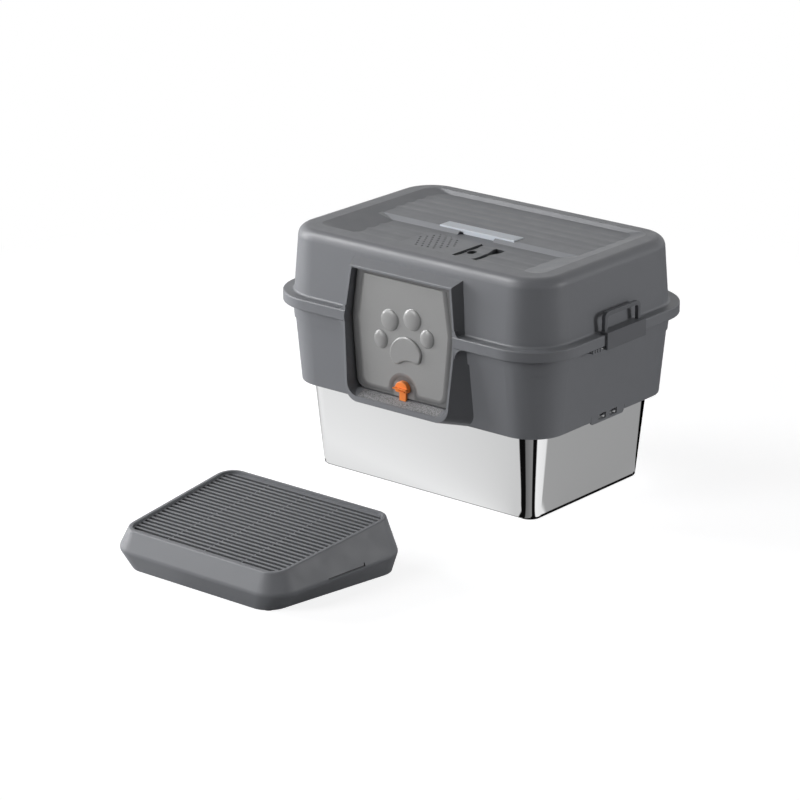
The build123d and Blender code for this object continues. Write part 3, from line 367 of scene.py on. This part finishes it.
def tone_by(finish, held, factor):
    """Multiplies a finish's colour by a factor, as far as a value holds."""
    tree = finish.node_tree
    shader = shader_of(finish)
    base = shader.inputs["Base Color"].links[0].from_socket
    tone = add_node(tree, "ShaderNodeMix", data_type="RGBA", blend_type="MULTIPLY")
    tone.inputs["B"].default_value = (factor, factor, factor, 1.0)
    tree.links.new(held, tone.inputs["Factor"])
    tree.links.new(base, tone.inputs["A"])
    tree.links.new(tone.outputs["Result"], shader.inputs["Base Color"])


def tone_in(finish, region, factor):
    """Dulls or lightens a finish inside a region, given as limits from low to high."""
    tree = finish.node_tree
    axes = add_node(tree, "ShaderNodeSeparateXYZ")
    tree.links.new(place_on(tree), axes.inputs[0])
    surface = add_node(tree, "ShaderNodeTexCoord")
    facing = add_node(tree, "ShaderNodeSeparateXYZ")
    tree.links.new(surface.outputs["Normal"], facing.inputs[0])
    values = {"X": axes.outputs["X"], "Y": axes.outputs["Y"], "Z": axes.outputs["Z"],
              "facing X": facing.outputs["X"]}
    tests = []
    for name, (low, high) in region.items():
        if low is not None:
            tests.append(maths(tree, "GREATER_THAN", values[name], low))
        if high is not None:
            tests.append(maths(tree, "LESS_THAN", values[name], high))
    held = tests[0]
    for test in tests[1:]:
        held = maths(tree, "MULTIPLY", held, test)
    tone_by(finish, held, factor)


# Painted shade: the deep groove beside the filter cover is darkened in the colour.
groove_painted_shade = {"X": (0.0345, 0.0600), "Y": (-0.1400, -0.0300), "Z": (0.4100, 0.4257)}
# Painted shade: the floor of the bow-shaped recess is darkened in the colour.
bow_recess_painted_shade = {"X": (0.0620, 0.0920), "Y": (-0.1450, -0.0300), "Z": (0.4100, 0.4257)}
# Painted highlight: the tray's front-facing ridge is lightened in the colour.
tray_ridge_painted_highlight = {"X": (-0.2300, 0.2300), "Y": (-0.0180, -0.0060), "Z": (0.4268, 0.4334)}
# Painted shade: the outer sides of the door frame are darkened, on the hood and the collar.
right_cheek_painted_shade = {"facing X": (0.55, None), "X": (0.1050, 0.1700), "Y": (None, -0.1600)}
left_cheek_painted_shade = {"facing X": (None, -0.55), "X": (-0.1700, -0.1050), "Y": (None, -0.1600)}

hood_grey = moulded_plastic("hood_grey", tone=shell_grey, roughness=0.44,
                            grain_scale=1400.0, grain_depth=0.00006)
tone_in(hood_grey, groove_painted_shade, factor=0.22)
tone_in(hood_grey, bow_recess_painted_shade, factor=0.42)
tone_in(hood_grey, tray_ridge_painted_highlight, factor=1.45)
# Painted shade on the door frame's outer sides, stronger on the hood than on the collar.
for grey, cheek_shade_factor in ((hood_grey, 0.60), (collar_grey, 0.70)):
    tone_in(grey, right_cheek_painted_shade, cheek_shade_factor)
    tone_in(grey, left_cheek_painted_shade, cheek_shade_factor)
dress(["hood_shell"], hood_grey)


# Flap. One thin moulding of smoky plastic, glossy, hung from the rod by a rolled barrel. Its
# colour is darker outside the raised field with the paw, and a little less dark in the arch
# round the bolt.

field_back = 0.2090
field_front = 0.2114
arch_half_inside = 0.0200
arch_half_outside = 0.0250
arch_low = 0.2100
arch_high = 0.2150
arch_strength = 0.62
cloud_strength = 0.06

flap_smoke = bpy.data.materials.new("flap_smoke")
smoke = new_tree(flap_smoke)
flap_shader = plain_shader(smoke, base=(0.29, 0.29, 0.29), roughness=0.30)
flap_shader.inputs["IOR"].default_value = 1.49
flap_shader.inputs["Specular IOR Level"].default_value = 0.4
flap_shader.inputs["Coat Weight"].default_value = 0.15
flap_shader.inputs["Coat Roughness"].default_value = 0.12
flap_axes = add_node(smoke, "ShaderNodeSeparateXYZ")
smoke.links.new(place_on(smoke), flap_axes.inputs[0])
flap_forward = maths(smoke, "MULTIPLY", flap_axes.outputs["Y"], -1.0)
flap_field_mask = between(smoke, flap_forward, low=0.0, high=1.0,
                     from_low=field_back, from_high=field_front)
arch_inside = between(smoke, maths(smoke, "ABSOLUTE", flap_axes.outputs["X"]),
                      low=arch_strength, high=0.0,
                      from_low=arch_half_inside, from_high=arch_half_outside)
arch_below = between(smoke, flap_axes.outputs["Z"], low=1.0, high=0.0,
                     from_low=arch_low, from_high=arch_high)
arch_light = maths(smoke, "MULTIPLY", arch_inside, arch_below)
flap_lit = maths(smoke, "MAXIMUM", flap_field_mask, arch_light)
flap_cloud = speckle(smoke, place_on(smoke), scale=16.0, detail=3.0)
flap_even = maths(smoke, "MULTIPLY_ADD", flap_cloud, cloud_strength, flap_lit)
flap_tone = colour_steps(smoke, [(0.03, (0.150, 0.150, 0.152)), (1.0, (0.335, 0.335, 0.334))])
smoke.links.new(flap_even, flap_tone.inputs["Fac"])
smoke.links.new(flap_tone.outputs["Color"], flap_shader.inputs["Base Color"])
flap_ripple = speckle(smoke, place_on(smoke), scale=60.0)
relief(smoke, flap_shader, flap_ripple, depth=0.00012, strength=0.3)
dress(["flap_panel"], flap_smoke)


# Bolt and its clip. Small orange mouldings: a half-round knob with two finger fins, a stem
# that drops into the sill, and a clip that holds its neck behind the flap.

bolt_orange = moulded_plastic("bolt_orange", tone=(0.95, 0.275, 0.060), roughness=0.40,
                              grain_scale=1800.0, grain_depth=0.00004)
dress(["lock_bolt", "lock_clip"], bolt_orange)


# Side latches. Moulded in a slightly darker, slightly shinier grey, each with a bail loop, and
# snapped on their pins.

latch_grey = moulded_plastic("latch_grey", tone=(0.150, 0.154, 0.166), roughness=0.38,
                             grain_scale=1600.0, grain_depth=0.00004)
dress(["latch_left", "latch_right"], latch_grey)


# Filter cover with its basket and the carbon pad. The cover and the basket are moulded like
# the hood, with painted shade on the cover's free end and a painted highlight along its front
# edge. The pad is a block of black carbon felt.

# Painted shade on the cover's free end, beside the groove.
cover_free_end_painted_shade = {"X": (0.0347, None)}
# Painted highlight along the cover's front edge.
cover_front_edge_painted_highlight = {"X": (None, 0.0345), "Y": (None, -0.1272), "Z": (0.4240, None)}

cover_grey = moulded_plastic("cover_grey", tone=(0.212, 0.218, 0.234), roughness=0.42,
                             grain_scale=1500.0, grain_depth=0.00005)
tone_in(cover_grey, cover_free_end_painted_shade, factor=0.22)
tone_in(cover_grey, cover_front_edge_painted_highlight, factor=1.70)
dress(["filter_cover", "filter_basket"], cover_grey)

carbon_felt = bpy.data.materials.new("carbon_felt")
felt = new_tree(carbon_felt)
felt_shader = plain_shader(felt, base=(0.02, 0.02, 0.021), roughness=0.95)
felt_fibres = speckle(felt, place_on(felt, stretch=(1.0, 0.35, 1.0)), scale=950.0, detail=4.0)
felt_tone = colour_steps(felt, [(0.35, (0.010, 0.010, 0.010)), (0.70, (0.045, 0.045, 0.047))])
felt.links.new(felt_fibres, felt_tone.inputs["Fac"])
felt.links.new(felt_tone.outputs["Color"], felt_shader.inputs["Base Color"])
relief(felt, felt_shader, felt_fibres, depth=0.0006, strength=0.8)
dress(["carbon_pad"], carbon_felt)


# Pull-up handle. A pale blue-grey bar on two posts with stop discs at their feet, moulded
# separately from a satin plastic.

handle_pale = moulded_plastic("handle_pale", tone=(0.66, 0.70, 0.755), roughness=0.40,
                              grain_scale=1500.0, grain_depth=0.00004)
dress(["handle_bar", "handle_post_left", "handle_post_right",
       "handle_stop_left", "handle_stop_right"], handle_pale)


# Entry step. A tub moulded upside down in the same grey, with a shallow slot in its right
# side darkened by painted shade, and four rubber feet glued in its corners.

# Painted shade in the slot on the step's right side.
side_slot_painted_shade = {"X": (0.1500, None), "Y": (-0.6400, -0.5560), "Z": (0.0335, 0.0360)}

step_grey = moulded_plastic("step_grey", tone=(0.210, 0.216, 0.230), roughness=0.50,
                            grain_scale=1300.0, grain_depth=0.00007)
tone_in(step_grey, side_slot_painted_shade, factor=0.30)
dress(["step_base"], step_grey)

foot_rubber = bpy.data.materials.new("foot_rubber")
rubber = new_tree(foot_rubber)
rubber_shader = plain_shader(rubber, base=(0.022, 0.022, 0.023), roughness=0.85)
rubber_dust = speckle(rubber, place_on(rubber), scale=500.0, detail=3.0)
rubber_tone = colour_steps(rubber, [(0.40, (0.018, 0.018, 0.019)), (0.75, (0.050, 0.049, 0.048))])
rubber.links.new(rubber_dust, rubber_tone.inputs["Fac"])
rubber.links.new(rubber_tone.outputs["Color"], rubber_shader.inputs["Base Color"])
relief(rubber, rubber_shader, rubber_dust, depth=0.0001, strength=0.6)
dress(["step_foot_1", "step_foot_2", "step_foot_3", "step_foot_4"], foot_rubber)


# Slatted tread. One moulding of round-topped slats on cross ribs, let into the step's sloping
# top so that litter falls through it. Painted shade darkens the sides of the slats.

slat_side_level = 0.70
slat_top_level = 0.90

tread_grey = moulded_plastic("tread_grey", tone=(0.245, 0.252, 0.268), roughness=0.45,
                             grain_scale=1500.0, grain_depth=0.00005)
slat_tree = tread_grey.node_tree
slat_surface = add_node(slat_tree, "ShaderNodeNewGeometry")
slat_axes = add_node(slat_tree, "ShaderNodeSeparateXYZ")
slat_tree.links.new(slat_surface.outputs["Normal"], slat_axes.inputs[0])
# Painted shade on faces of the slats that do not face up.
slat_side_painted_shade = between(slat_tree, slat_axes.outputs["Z"], low=1.0, high=0.0,
                    from_low=slat_side_level, from_high=slat_top_level)
tone_by(tread_grey, slat_side_painted_shade, factor=0.45)
dress(["step_tread"], tread_grey)
